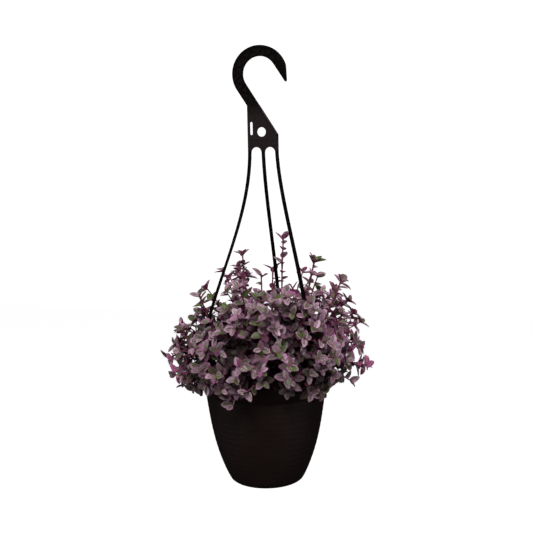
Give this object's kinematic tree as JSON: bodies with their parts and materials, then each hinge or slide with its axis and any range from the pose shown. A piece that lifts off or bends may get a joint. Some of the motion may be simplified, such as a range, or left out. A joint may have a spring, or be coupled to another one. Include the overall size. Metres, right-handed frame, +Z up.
{
  "type": "potted tradescantia",
  "caption": "Small-leaved tradescantia with striped lilac and green leaves in a dark tapered hanging pot with a hooked plastic hanger.",
  "frame": {"origin": "point inside the crown of the hook that bears on the rail it hangs from, in the middle of the hook's thickness", "axes": "+Z up along the pot's axis, +X along the hanger's flat plate towards the hook's tip, +Y from the axis to the back leg"},
  "size_m": [0.2242, 0.2059, 0.4622],
  "materials": {
    "pot_plastic": "satin moulded, near-black brown",
    "hanger_plastic": "satin moulded, near-black brown",
    "potting_mix": "matte, crumbly peat and bark",
    "foliage": "soft satin leaf, lilac with green stripes and purple undersides"
  },
  "bodies": {
    "root": {"pot": "pot_plastic", "hanger": "hanger_plastic", "soil": "potting_mix", "leafy_stem_01": "foliage", "leafy_stem_02": "foliage", "leafy_stem_03": "foliage", "leafy_stem_04": "foliage", "leafy_stem_05": "foliage", "leafy_stem_06": "foliage", "leafy_stem_07": "foliage", "leafy_stem_08": "foliage", "leafy_stem_09": "foliage", "leafy_stem_10": "foliage", "leafy_stem_11": "foliage", "leafy_stem_12": "foliage", "leafy_stem_13": "foliage", "leafy_stem_14": "foliage", "leafy_stem_15": "foliage", "leafy_stem_16": "foliage", "leafy_stem_17": "foliage", "leafy_stem_18": "foliage", "leafy_stem_19": "foliage", "leafy_stem_20": "foliage", "leafy_stem_21": "foliage", "leafy_stem_22": "foliage", "leafy_stem_23": "foliage", "leafy_stem_24": "foliage", "leafy_stem_25": "foliage", "leafy_stem_26": "foliage", "leafy_stem_27": "foliage", "leafy_stem_28": "foliage", "leafy_stem_29": "foliage"}
  },
  "joints": []
}
